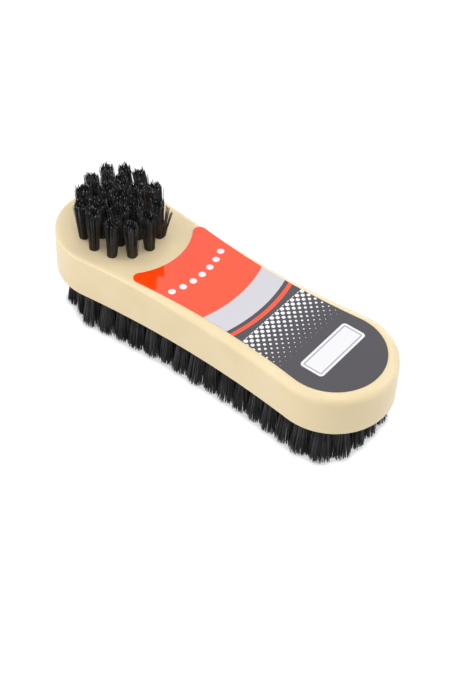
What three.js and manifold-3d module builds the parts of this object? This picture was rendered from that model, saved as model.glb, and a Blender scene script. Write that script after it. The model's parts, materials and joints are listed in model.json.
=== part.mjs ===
// Shoe brush with two brushes on one block: a wide polishing brush set into the underside and
// a small round applicator brush set into the toe end of the deck, with a label on the rest.
// Millimetres, +Z up, +X towards the heel. The sole's bristle tips stand on z = 0 and the
// origin is the middle of the footprint.
import * as THREE from 'three';
import { mergeGeometries, mergeVertices } from 'three/addons/utils/BufferGeometryUtils.js';
import Module from 'manifold-3d';

// Block: two round ends joined by a shallow concave waist
const LENGTH = 160;
const END_RADIUS = 25;
const WAIST_HALF_WIDTH = 21.65;
const BLOCK_HEIGHT = 19.25;
const LOWER_EDGE_RADIUS = 0.75;

// Rounded shoulder of the deck: crisp at the toe, growing to a broad round at the heel
const TOE_SHOULDER = 1.25;
const HEEL_SHOULDER = 3.9;
const SHOULDER_GROWS_FROM = -53;
const SHOULDER_GROWS_TO = 27;

// Polishing brush
const SOLE_LENGTH = 17.5;
const SOLE_SLICE_INSET = 2.4;
const SOLE_SLICE_THICKNESS = 2;
const OUTER_ROW_INSET = 5.7;
const OUTER_BAND_INSET = 9.5;
const INNER_ROW_INSET = 13.4;
const INNER_BAND_INSET = 17.3;
const ROW_PITCH = 7.6;
const CENTRE_ROW_REACH = 53.2;
const CENTRE_ROW_TUFTS = 15;
// The rows stop short of the block's ends and turn more squarely at the heel than at the toe
const ROW_END_SETBACK = 4.6;
const TOE_SQUARENESS = 0.97;
const HEEL_SQUARENESS = 0.59;
const TIP_TRIM = 0.5;
const TIP_RAGGEDNESS = 1.4;

// Applicator brush
const APPLICATOR_X = -51.9;
const APPLICATOR_LENGTH = 19;
const APPLICATOR_RINGS = [
  { radius: 0, tufts: 1, turn: 0 },
  { radius: 8.3, tufts: 6, turn: 7 },
  { radius: 15.75, tufts: 12, turn: -4 },
];
const APPLICATOR_SLICE_RADIUS = 20.5;
const APPLICATOR_SLICE_THICKNESS = 3;
const APPLICATOR_UNEVENNESS = 0.7;

// Drilled holes, tuft roots and anchor wires of the applicator brush
const HOLE_RADIUS = 2.2;
const HOLE_DEPTH = 6.5;
const ROOT_RADIUS = 1.9;
const ROOT_SIDES = 8;
const ROOT_END_GAP = 0.25;
const ANCHOR_LENGTH = 6.4;
const ANCHOR_WIDTH = 0.5;
const ANCHOR_HEIGHT = 1.75;
const ANCHOR_ABOVE_HOLE_END = 1.25;

// Label: round at the heel, with a deeper waist than the block, cut round the applicator
const LABEL_THICKNESS = 0.25;
const LABEL_HEEL_X = 54.4;
const LABEL_HEEL_RADIUS = 21;
const LABEL_WAIST_X = 13;
const LABEL_HALF_WIDTH = 18.5;
const LABEL_ARC_RADIUS = 28;
const LABEL_CORNER_RADIUS = 2.8;

// Strands: each tuft is a ring of three-sided strands that spreads towards the tips
const STRAND_SIDES = 3;
const STRAND_ROOT = 0.5;
const TIP_WANDER = 0.25;
const OUTER_TUFT = { strands: 5, radius: 1.35, tipRadius: 2.75, strandRadius: 0.75 };
const INNER_TUFT = { strands: 3, radius: 1.2, tipRadius: 2.5, strandRadius: 0.95 };
const APPLICATOR_TUFT = { strands: 6, radius: 1.5, tipRadius: 2.05, strandRadius: 0.65 };

// Clearance round pieces that sit in a pocket, and how far a cut runs past the face it opens
const GAP = 0.3;
const OVERRUN = 0.5;

// Facets of the round forms
const END_STEPS = 32;
const WAIST_STEPS = 14;
const BAND_END_STEPS = 16;
const BAND_WAIST_STEPS = 6;
const SHOULDER_STEPS = 6;
const LOWER_EDGE_STEPS = 2;
const POCKET_STEPS = 48;
const CORNER_STEPS = 6;
const RANDOM_SEED = 11;
const MERGE_DISTANCE = 1e-4;

// Worked out from the above
const UNDERSIDE = SOLE_LENGTH;
const DECK = UNDERSIDE + BLOCK_HEIGHT;
const POCKET_FLOOR = DECK - APPLICATOR_SLICE_THICKNESS;
const HOLE_END = POCKET_FLOOR - HOLE_DEPTH;
const ANCHOR_FLOOR = HOLE_END + ANCHOR_ABOVE_HOLE_END;
const END_X = LENGTH / 2 - END_RADIUS;
const WAIST_RADIUS =
  (END_X ** 2 + WAIST_HALF_WIDTH ** 2 - END_RADIUS ** 2) / (2 * (END_RADIUS - WAIST_HALF_WIDTH));
const WAIST_Y = WAIST_RADIUS + WAIST_HALF_WIDTH;
const END_SWEEP = Math.atan2(WAIST_Y, -END_X);

const wasm = await Module();
wasm.setup();
THREE.MathUtils.seededRandom(RANDOM_SEED);

// A random number from -1 to 1, the same in each run
function wander() {
  return 2 * THREE.MathUtils.seededRandom() - 1;
}

// A closed geometry as a solid that can be joined and cut
function solid(geometry) {
  const bare = new THREE.BufferGeometry();
  bare.setAttribute('position', geometry.getAttribute('position'));
  bare.setIndex(geometry.getIndex());
  const merged = mergeVertices(bare, MERGE_DISTANCE);
  const mesh = new wasm.Mesh({
    numProp: 3,
    vertProperties: merged.getAttribute('position').array,
    triVerts: Uint32Array.from(merged.getIndex().array),
  });
  return new wasm.Manifold(mesh);
}

// A solid's faces as a geometry with crisp facets
function facets(body) {
  const { vertProperties, triVerts } = body.getMesh();
  const indexed = new THREE.BufferGeometry();
  indexed.setAttribute('position', new THREE.BufferAttribute(vertProperties, 3));
  indexed.setIndex(new THREE.BufferAttribute(triVerts, 1));
  const geometry = indexed.toNonIndexed();
  geometry.computeVertexNormals();
  return geometry;
}

// A named sub-part
function piece(name, body, color, roughness, metalness = 0) {
  const material = new THREE.MeshStandardMaterial({ color, roughness, metalness });
  const mesh = new THREE.Mesh(facets(body), material);
  mesh.name = name;
  return mesh;
}

// Points along an arc, without its last one, so that arcs can follow each other
function arc(x, y, radius, from, to, steps) {
  return Array.from({ length: steps }, (_, i) => {
    const angle = THREE.MathUtils.lerp(from, to, i / steps);
    return new THREE.Vector2(x + radius * Math.cos(angle), y + radius * Math.sin(angle));
  });
}

// The block's outline moved inwards, anticlockwise from the heel: two end arcs and two waist arcs
function waistedOutline(inset, endSteps = END_STEPS, waistSteps = WAIST_STEPS) {
  const end = END_RADIUS - inset;
  const waist = WAIST_RADIUS + inset;
  return [
    ...arc(END_X, 0, end, -END_SWEEP, END_SWEEP, endSteps),
    ...arc(0, WAIST_Y, waist, END_SWEEP - Math.PI, -END_SWEEP, waistSteps),
    ...arc(-END_X, 0, end, Math.PI - END_SWEEP, Math.PI + END_SWEEP, endSteps),
    ...arc(0, -WAIST_Y, waist, END_SWEEP, Math.PI - END_SWEEP, waistSteps),
  ];
}

// A skin through rings of points that go anticlockwise, lowest ring first, closed at both ends
function loft(rings) {
  const count = rings[0].length;
  const positions = rings.flat().flatMap((point) => point.toArray());
  const index = [];
  for (let ring = 0; ring + 1 < rings.length; ring += 1) {
    for (let i = 0; i < count; i += 1) {
      const a = ring * count + i;
      const b = ring * count + ((i + 1) % count);
      index.push(a, b, b + count, a, b + count, a + count);
    }
  }
  const last = (rings.length - 1) * count;
  const flat = rings[0].map((point) => new THREE.Vector2(point.x, point.y));
  for (const [a, b, c] of THREE.ShapeUtils.triangulateShape(flat, [])) {
    index.push(a, c, b, last + a, last + b, last + c);
  }
  const geometry = new THREE.BufferGeometry();
  geometry.setAttribute('position', new THREE.Float32BufferAttribute(positions, 3));
  geometry.setIndex(index);
  return geometry;
}

// A flat plate of an outline between two heights
function plate(outline, low, high) {
  const geometry = new THREE.ExtrudeGeometry(new THREE.Shape(outline), {
    depth: high - low,
    bevelEnabled: false,
  });
  return solid(geometry.translate(0, 0, low));
}

// An upright round or many-sided plug between two heights
function plug(x, y, radius, low, high, sides) {
  const geometry = new THREE.CylinderGeometry(radius, radius, high - low, sides);
  geometry.rotateX(Math.PI / 2);
  return solid(geometry.translate(x, y, (low + high) / 2));
}

// A box with its middle at x, y, between two heights
function bar(x, y, length, width, low, high) {
  const geometry = new THREE.BoxGeometry(length, width, high - low);
  return solid(geometry.translate(x, y, (low + high) / 2));
}

// Radius of the deck's rounded shoulder at a place along the block
function shoulderRadius(x) {
  const growth = THREE.MathUtils.smoothstep(x, SHOULDER_GROWS_FROM, SHOULDER_GROWS_TO);
  return THREE.MathUtils.lerp(TOE_SHOULDER, HEEL_SHOULDER, growth);
}

// The moulded block: an upright wall between a small lower edge round and the growing shoulder
function blockBody() {
  const rim = waistedOutline(0);
  const inner = waistedOutline(1);
  const ring = (inset, height) =>
    rim.map((point, i) => {
      const moved = point.clone().lerp(inner[i], inset(point.x));
      return new THREE.Vector3(moved.x, moved.y, height(point.x));
    });
  const rings = [];
  for (let step = 0; step <= LOWER_EDGE_STEPS; step += 1) {
    const angle = (Math.PI / 2) * (step / LOWER_EDGE_STEPS);
    rings.push(
      ring(
        () => LOWER_EDGE_RADIUS * (1 - Math.sin(angle)),
        () => UNDERSIDE + LOWER_EDGE_RADIUS * (1 - Math.cos(angle)),
      ),
    );
  }
  for (let step = 0; step <= SHOULDER_STEPS; step += 1) {
    const angle = (Math.PI / 2) * (step / SHOULDER_STEPS);
    rings.push(
      ring(
        (x) => shoulderRadius(x) * (1 - Math.cos(angle)),
        (x) => DECK - shoulderRadius(x) * (1 - Math.sin(angle)),
      ),
    );
  }
  return solid(loft(rings));
}

// Places of the applicator's tufts, from the middle outwards
function applicatorTufts() {
  return APPLICATOR_RINGS.flatMap(({ radius, tufts, turn }) =>
    Array.from({ length: tufts }, (_, i) => {
      const angle = THREE.MathUtils.degToRad(turn) + (2 * Math.PI * i) / tufts;
      return { x: APPLICATOR_X + radius * Math.cos(angle), y: radius * Math.sin(angle) };
    }),
  );
}

// The line of a row of the sole's tufts: the block's outline moved inwards, with flatter ends
function rowOutline(inset, endSteps = END_STEPS, waistSteps = WAIST_STEPS) {
  const half = END_RADIUS - inset;
  return waistedOutline(inset, endSteps, waistSteps).map((point) => {
    const beyond = Math.abs(point.x) - END_X;
    if (beyond <= 0) {
      return point;
    }
    const power = point.x > 0 ? HEEL_SQUARENESS : TOE_SQUARENESS;
    const along = (half - ROW_END_SETBACK) * (beyond / half) ** power;
    const across = half * (Math.abs(point.y) / half) ** power;
    return new THREE.Vector2(Math.sign(point.x) * (END_X + along), Math.sign(point.y) * across);
  });
}

// Places of the tufts of a row, evenly spaced
function soleRow(inset) {
  const outline = rowOutline(inset);
  const row = new THREE.Path([...outline, outline[0]]);
  const tufts = Math.round(row.getLength() / ROW_PITCH);
  return Array.from({ length: tufts }, (_, i) => row.getPointAt((i + 0.5) / tufts));
}

// One tuft: strands on a ring, from z = root to a tip height of their own, spreading outwards
function tuft(place, style, root, tipHeight) {
  const turn = Math.PI * wander();
  return Array.from({ length: style.strands }, (_, i) => {
    const angle = turn + (2 * Math.PI * i) / style.strands;
    const tip = tipHeight();
    const section = (ringRadius, wanderX, wanderY, z) => {
      const x = place.x + ringRadius * Math.cos(angle) + wanderX;
      const y = place.y + ringRadius * Math.sin(angle) + wanderY;
      const full = angle + 2 * Math.PI;
      const corners = arc(x, y, style.strandRadius, angle, full, STRAND_SIDES);
      return corners.map((corner) => new THREE.Vector3(corner.x, corner.y, z));
    };
    const base = section(style.radius, 0, 0, root);
    const end = section(style.tipRadius, TIP_WANDER * wander(), TIP_WANDER * wander(), tip);
    return loft(tip > root ? [base, end] : [end, base]);
  });
}

// The applicator brush: strands and drilled-in roots on a round slice of the deck
function applicatorBody(places) {
  const tipHeight = () => DECK + APPLICATOR_LENGTH + APPLICATOR_UNEVENNESS * wander();
  const strands = places.flatMap((place) =>
    tuft(place, APPLICATOR_TUFT, DECK - STRAND_ROOT, tipHeight),
  );
  let body = plug(APPLICATOR_X, 0, APPLICATOR_SLICE_RADIUS, POCKET_FLOOR, DECK, POCKET_STEPS);
  body = body.add(solid(mergeGeometries(strands)));
  for (const { x, y } of places) {
    const low = HOLE_END + ROOT_END_GAP;
    body = body.add(plug(x, y, ROOT_RADIUS, low, POCKET_FLOOR + OVERRUN, ROOT_SIDES));
    body = body.subtract(anchorSlot(x, y, GAP));
  }
  return body;
}

// The space round an anchor wire, with its clearance below given apart, as the block carries it
function anchorSlot(x, y, gapBelow) {
  const low = ANCHOR_FLOOR - gapBelow;
  const high = ANCHOR_FLOOR + ANCHOR_HEIGHT + GAP;
  return bar(x, y, ANCHOR_LENGTH + 2 * GAP, ANCHOR_WIDTH + 2 * GAP, low, high);
}

// The rows of the polishing brush, each with the band of the underside that its tufts are set in
function soleRows() {
  const centreRow = Array.from({ length: CENTRE_ROW_TUFTS }, (_, i) => ({
    x: THREE.MathUtils.lerp(-CENTRE_ROW_REACH, CENTRE_ROW_REACH, i / (CENTRE_ROW_TUFTS - 1)),
    y: 0,
  }));
  const bandEdge = (inset) => rowOutline(inset, BAND_END_STEPS, BAND_WAIST_STEPS);
  return [
    {
      name: 'sole_outer_row',
      places: soleRow(OUTER_ROW_INSET),
      style: OUTER_TUFT,
      outside: waistedOutline(SOLE_SLICE_INSET, BAND_END_STEPS, BAND_WAIST_STEPS),
      inside: bandEdge(OUTER_BAND_INSET),
    },
    {
      name: 'sole_inner_row',
      places: soleRow(INNER_ROW_INSET),
      style: INNER_TUFT,
      outside: bandEdge(OUTER_BAND_INSET + GAP),
      inside: bandEdge(INNER_BAND_INSET),
    },
    {
      name: 'sole_centre_row',
      places: centreRow,
      style: INNER_TUFT,
      outside: bandEdge(INNER_BAND_INSET + GAP),
    },
  ];
}

// One row: strands on its band of the underside, trimmed flat where the brush stands
function soleRowBody({ places, style, outside, inside }) {
  const tipHeight = () =>
    Math.max(0, TIP_RAGGEDNESS * THREE.MathUtils.seededRandom() - TIP_TRIM);
  const top = UNDERSIDE + SOLE_SLICE_THICKNESS;
  const strands = places.flatMap((place) => tuft(place, style, UNDERSIDE + STRAND_ROOT, tipHeight));
  let band = plate(outside, UNDERSIDE, top);
  if (inside) {
    band = band.subtract(plate(inside, UNDERSIDE - OVERRUN, top + OVERRUN));
  }
  return band.add(solid(mergeGeometries(strands)));
}

// The block with the sole's recess, the applicator's pocket and its drilled holes
function handleBody(places) {
  const recess = plate(
    waistedOutline(SOLE_SLICE_INSET - GAP),
    UNDERSIDE - OVERRUN,
    UNDERSIDE + SOLE_SLICE_THICKNESS,
  );
  const pocketRadius = APPLICATOR_SLICE_RADIUS + GAP;
  const pocketTop = DECK + OVERRUN;
  const pocket = plug(APPLICATOR_X, 0, pocketRadius, POCKET_FLOOR, pocketTop, POCKET_STEPS);
  let body = blockBody().subtract(recess).subtract(pocket);
  for (const { x, y } of places) {
    body = body.subtract(plug(x, y, HOLE_RADIUS, HOLE_END, POCKET_FLOOR + OVERRUN, ROOT_SIDES));
    body = body.subtract(anchorSlot(x, y, 0));
  }
  return body;
}

// The label: a round heel, two waist arcs, rounded tips and an arc round the applicator
function labelBody() {
  const corner = LABEL_CORNER_RADIUS;
  // The waist arc touches the heel's round from outside
  const run = LABEL_HEEL_X - LABEL_WAIST_X;
  const narrowing = LABEL_HEEL_RADIUS - LABEL_HALF_WIDTH;
  const waist = (run ** 2 + LABEL_HALF_WIDTH ** 2 - LABEL_HEEL_RADIUS ** 2) / (2 * narrowing);
  const waistY = waist + LABEL_HALF_WIDTH;
  const heelSweep = Math.atan2(waistY, -run);
  // The tip's round touches the waist arc and the arc round the applicator from outside both
  const toWaist = waist + corner;
  const toApplicator = LABEL_ARC_RADIUS + corner;
  const back = LABEL_WAIST_X - APPLICATOR_X;
  const apart = Math.hypot(back, waistY);
  const along = (apart ** 2 + toApplicator ** 2 - toWaist ** 2) / (2 * apart);
  const tipAngle = Math.atan2(waistY, back) - Math.acos(along / toApplicator);
  const tipX = APPLICATOR_X + toApplicator * Math.cos(tipAngle);
  const tipY = toApplicator * Math.sin(tipAngle);
  const waistAngle = Math.atan2(tipY - waistY, tipX - LABEL_WAIST_X);
  const outline = [
    ...arc(LABEL_HEEL_X, 0, LABEL_HEEL_RADIUS, -heelSweep, heelSweep, END_STEPS),
    ...arc(LABEL_WAIST_X, waistY, waist, heelSweep - Math.PI, waistAngle, WAIST_STEPS),
    ...arc(tipX, tipY, corner, waistAngle + Math.PI, tipAngle + Math.PI, CORNER_STEPS),
    ...arc(APPLICATOR_X, 0, LABEL_ARC_RADIUS, tipAngle, -tipAngle, END_STEPS),
    ...arc(tipX, -tipY, corner, Math.PI - tipAngle, Math.PI - waistAngle, CORNER_STEPS),
    ...arc(LABEL_WAIST_X, -waistY, waist, -waistAngle, Math.PI - heelSweep, WAIST_STEPS),
  ];
  return plate(outline, DECK, DECK + LABEL_THICKNESS);
}

// An anchor wire across the foot of its hole
function anchorBody({ x, y }) {
  return bar(x, y, ANCHOR_LENGTH, ANCHOR_WIDTH, ANCHOR_FLOOR, ANCHOR_FLOOR + ANCHOR_HEIGHT);
}

const tuftPlaces = applicatorTufts();
const brush = new THREE.Group();
brush.add(
  piece('handle_block', handleBody(tuftPlaces), '#e9dbb0', 0.45),
  piece('label', labelBody(), '#5f5b65', 0.25),
  ...soleRows().map((row) => piece(row.name, soleRowBody(row), '#1b1a1c', 0.5)),
  piece('applicator_bristles', applicatorBody(tuftPlaces), '#1b1a1c', 0.5),
);
tuftPlaces.forEach((place, i) => {
  const name = `applicator_anchor_${String(i + 1).padStart(2, '0')}`;
  brush.add(piece(name, anchorBody(place), '#9c9a94', 0.35, 1));
});

export default brush;
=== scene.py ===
"""Looks of a shoe brush with two brushes on one block.

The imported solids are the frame, in metres. Each class below models one sub-assembly over them: the
moulded block, the printed label on its deck, the two brushes, the anchor wires inside and the
studio that they are seen in.
"""

import json
import logging
import math
from dataclasses import dataclass, field, replace
from enum import Enum
from typing import Any, Callable, Iterable

import bpy
import numpy as np
from mathutils import Matrix, Vector

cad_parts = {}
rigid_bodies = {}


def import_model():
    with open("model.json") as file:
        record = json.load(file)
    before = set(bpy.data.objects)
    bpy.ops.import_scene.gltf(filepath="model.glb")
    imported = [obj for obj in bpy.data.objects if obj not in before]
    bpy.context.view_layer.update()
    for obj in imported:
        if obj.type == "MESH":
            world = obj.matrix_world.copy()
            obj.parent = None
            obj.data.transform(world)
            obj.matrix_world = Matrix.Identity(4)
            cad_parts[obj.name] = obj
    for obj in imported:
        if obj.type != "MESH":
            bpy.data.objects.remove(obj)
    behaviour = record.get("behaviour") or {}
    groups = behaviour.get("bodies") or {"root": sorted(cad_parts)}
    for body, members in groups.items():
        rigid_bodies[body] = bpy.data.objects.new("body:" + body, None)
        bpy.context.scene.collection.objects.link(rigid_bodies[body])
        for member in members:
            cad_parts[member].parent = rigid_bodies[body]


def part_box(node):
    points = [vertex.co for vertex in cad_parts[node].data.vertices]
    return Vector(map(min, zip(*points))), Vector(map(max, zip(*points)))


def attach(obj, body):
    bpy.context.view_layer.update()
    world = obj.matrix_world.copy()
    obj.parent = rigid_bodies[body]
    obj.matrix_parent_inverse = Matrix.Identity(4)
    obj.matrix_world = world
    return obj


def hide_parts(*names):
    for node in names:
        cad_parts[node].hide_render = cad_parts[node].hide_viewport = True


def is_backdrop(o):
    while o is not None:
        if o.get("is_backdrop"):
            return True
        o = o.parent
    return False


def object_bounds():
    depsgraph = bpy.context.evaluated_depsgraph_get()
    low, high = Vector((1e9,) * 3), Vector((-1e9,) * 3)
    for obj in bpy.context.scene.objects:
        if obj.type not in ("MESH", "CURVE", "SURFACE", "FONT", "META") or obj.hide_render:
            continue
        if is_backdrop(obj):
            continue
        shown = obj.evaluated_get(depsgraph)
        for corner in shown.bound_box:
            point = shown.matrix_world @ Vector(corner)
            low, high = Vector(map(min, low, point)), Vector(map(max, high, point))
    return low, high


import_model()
CAD_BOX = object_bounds()

LOG = logging.getLogger("shoe_brush")
MM = 0.001
BODY = "root"
TOLERANCE = 0.01 * MM
SMOOTH_ANGLE = math.radians(35)
LEVEL_NORMAL = 0.9
GOLDEN_ANGLE = math.pi * (3 - math.sqrt(5))
RANDOM_SEED = 20
WAIST_HALF_WIDTH = 21.65 * MM
APPLICATOR_X = -51.9 * MM

Piece = bpy.types.Object
Socket = bpy.types.NodeSocket


class Slot(Enum):
    """Material slots of the record, which the pieces below name."""

    BLOCK = "block"
    LABEL = "label"
    BRISTLE = "bristle"


# Helpers for colours, nodes and operators


def linear(colour: str) -> tuple[float, float, float, float]:
    """Turn an sRGB hex colour into linear values.

    Args:
        colour: hex colour such as "#E6D8A8".

    Returns:
        Linear red, green and blue, and an alpha of 1.
    """
    channels = []
    for start in (1, 3, 5):
        value = int(colour[start:start + 2], 16) / 255
        channels.append(value / 12.92 if value <= 0.04045 else ((value + 0.055) / 1.055) ** 2.4)
    return (*channels, 1.0)


@dataclass(frozen=True)
class Graph:
    """Shader nodes of a finish, or of the sky, and short ways to add to them."""

    tree: bpy.types.NodeTree

    def fill(self, node: bpy.types.Node, inputs: dict[Any, Any]) -> None:
        """Set or link input sockets of a node.

        Args:
            node: node to fill.
            inputs: value, or output socket to link, for each input socket.
        """
        for key, value in inputs.items():
            if isinstance(value, Socket):
                self.tree.links.new(value, node.inputs[key])
            else:
                node.inputs[key].default_value = value

    def add(self, kind: str, inputs: dict[Any, Any] | None = None, **settings: Any) -> bpy.types.Node:
        """Add a node with its settings and links.

        Args:
            kind: node type, without the leading "ShaderNode".
            inputs: value, or output socket to link, for each input socket.
            **settings: attributes of the node.

        Returns:
            The new node.
        """
        node = self.tree.nodes.new("ShaderNode" + kind)
        for name, value in settings.items():
            setattr(node, name, value)
        self.fill(node, inputs or {})
        return node

    def place(self) -> Socket:
        """Give the place on the piece, in metres."""
        return self.add("TexCoord").outputs["Object"]

    def maths(self, operation: str, *values: Any) -> Socket:
        """Work out a number from numbers or sockets, with the Math node."""
        return self.add("Math", dict(enumerate(values)), operation=operation).outputs[0]

    def vector_maths(self, operation: str, *values: Any) -> Socket:
        """Work out a vector, or the length of one, with the Vector Math node."""
        node = self.add("VectorMath", dict(enumerate(values)), operation=operation)
        return node.outputs["Value" if operation in ("DISTANCE", "LENGTH") else "Vector"]

    def spread(self, value: Socket, result: tuple[float, float], start: float = 0.0,
               end: float = 1.0) -> Socket:
        """Map a number onto a range and hold it at the range's ends.

        Args:
            value: number to map.
            result: results at the start and at the end.
            start: number that gives the first result.
            end: number that gives the second result.

        Returns:
            Socket of the result.
        """
        return self.add("MapRange", {
            "Value": value, "From Min": start, "From Max": end, "To Min": result[0], "To Max": result[1],
        }).outputs["Result"]

    def noise(self, place: Socket, size: float, detail: float = 2.0, roughness: float = 0.5) -> Socket:
        """Scatter soft patches of a random tone.

        Args:
            place: place on the piece.
            size: size of the patches.
            detail: number of finer layers.
            roughness: strength of the finer layers.

        Returns:
            Socket of the tone.
        """
        return self.add("TexNoise", {
            "Vector": place, "Scale": 1 / size, "Detail": detail, "Roughness": roughness,
        }).outputs["Fac"]

    def bump(self, height: Socket, depth: float) -> Socket:
        """Bump the surface by a tone that stands for a depth."""
        return self.add("Bump", {"Height": height, "Distance": depth, "Strength": 1.0}).outputs["Normal"]

    def ramp(self, value: Socket, stops: Iterable[tuple[float, str]], stepped: bool = False) -> Socket:
        """Colour a number by a ramp.

        Args:
            value: number to colour.
            stops: places on the ramp, in rising order, and their hex colours.
            stepped: whether each colour holds up to the next place.

        Returns:
            Colour socket.
        """
        node = self.add("ValToRGB", {"Fac": value})
        elements = node.color_ramp.elements
        for index, (place, colour) in enumerate(stops):
            element = elements[index] if index < len(elements) else elements.new(place)
            element.position = place
            element.color = linear(colour)
        if stepped:
            node.color_ramp.interpolation = "CONSTANT"
        return node.outputs["Color"]

    def overlay(self, mask: Socket, under: Socket, colour: str) -> Socket:
        """Lay a flat colour over another one where a mask is 1.

        Args:
            mask: share of the flat colour.
            under: colour below.
            colour: hex colour laid over it.

        Returns:
            Colour socket.
        """
        # In colour mode the node takes its colours at sockets 6 and 7 and gives one at socket 2
        node = self.add("Mix", {0: mask, 6: under, 7: linear(colour)}, data_type="RGBA")
        return node.outputs[2]


def new_material(name: str) -> tuple[bpy.types.Material, Graph, bpy.types.Node]:
    """Start a node material.

    Args:
        name: name of the real material.

    Returns:
        The material, its nodes and its principled shader.
    """
    material = bpy.data.materials.new(name)
    material.use_nodes = True
    return material, Graph(material.node_tree), material.node_tree.nodes["Principled BSDF"]


def select_only(*pieces: Piece) -> None:
    """Select these pieces and nothing else.

    Args:
        *pieces: pieces to select. The first one becomes active.
    """
    bpy.ops.object.select_all(action="DESELECT")
    for piece in pieces:
        piece.select_set(True)
    bpy.context.view_layer.objects.active = pieces[0]


def pick_faces(piece: Piece, test: Callable[[bpy.types.MeshPolygon], bool]) -> None:
    """Enter edit mode with only the faces that pass a test selected.

    Args:
        piece: mesh object to edit.
        test: says whether a face is picked.
    """
    bpy.ops.object.mode_set(mode="OBJECT")
    mesh = piece.data
    for group in (mesh.vertices, mesh.edges, mesh.polygons):
        group.foreach_set("select", np.zeros(len(group), dtype=bool))
    for face in mesh.polygons:
        if test(face):
            face.select = True
            for index in face.vertices:
                mesh.vertices[index].select = True
    bpy.context.tool_settings.mesh_select_mode = (False, False, True)
    bpy.ops.object.mode_set(mode="EDIT")


def apply_modifier(piece: Piece, kind: str, **settings: Any) -> None:
    """Add a modifier with its settings to a piece and apply it.

    Args:
        piece: mesh object to change.
        kind: modifier type.
        **settings: attributes of the modifier.
    """
    modifier = piece.modifiers.new(kind.title(), kind)
    for name, value in settings.items():
        setattr(modifier, name, value)
    select_only(piece)
    bpy.ops.object.modifier_apply(modifier=modifier.name)


def copy_joined(pattern: Piece, places: np.ndarray) -> Piece:
    """Copy a piece to each place and join the copies.

    Args:
        pattern: piece at the origin, which is used up.
        places: x and y of each copy.

    Returns:
        One object with all the copies, unturned at the origin.
    """
    copies = []
    for x, y in places:
        twin = pattern.copy()
        twin.data = pattern.data.copy()
        twin.data.transform(Matrix.Translation((x, y, 0)))
        bpy.context.collection.objects.link(twin)
        copies.append(twin)
    bpy.data.objects.remove(pattern)
    select_only(*copies)
    bpy.ops.object.join()
    return bpy.context.object


def settle(piece: Piece, slot: Slot, material: bpy.types.Material, *nodes: str) -> None:
    """Dress a finished piece and give it its place in the frame.

    Args:
        piece: finished mesh object.
        slot: material slot of the record; not used.
        material: finish of the piece.
        *nodes: solids that the piece stands for.
    """
    piece.data.materials.clear()
    piece.data.materials.append(material)
    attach(piece, BODY)
    if nodes:
        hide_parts(*nodes)
    LOG.info("%s: %d faces", piece.name, len(piece.data.polygons))


# Plan of the block, shared by the block, the label and the rows of tufts


@dataclass(frozen=True)
class Arc:
    """Part of a circle in plan, swept anticlockwise where the sweep is positive."""

    x: float
    y: float
    sweep: float
    steps: int


@dataclass(frozen=True)
class RowEnds:
    """How a row of tufts turns at the block's ends: short of them, and squarer at the heel."""

    toe_setback: float
    heel_setback: float
    toe_squareness: float
    heel_squareness: float


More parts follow.
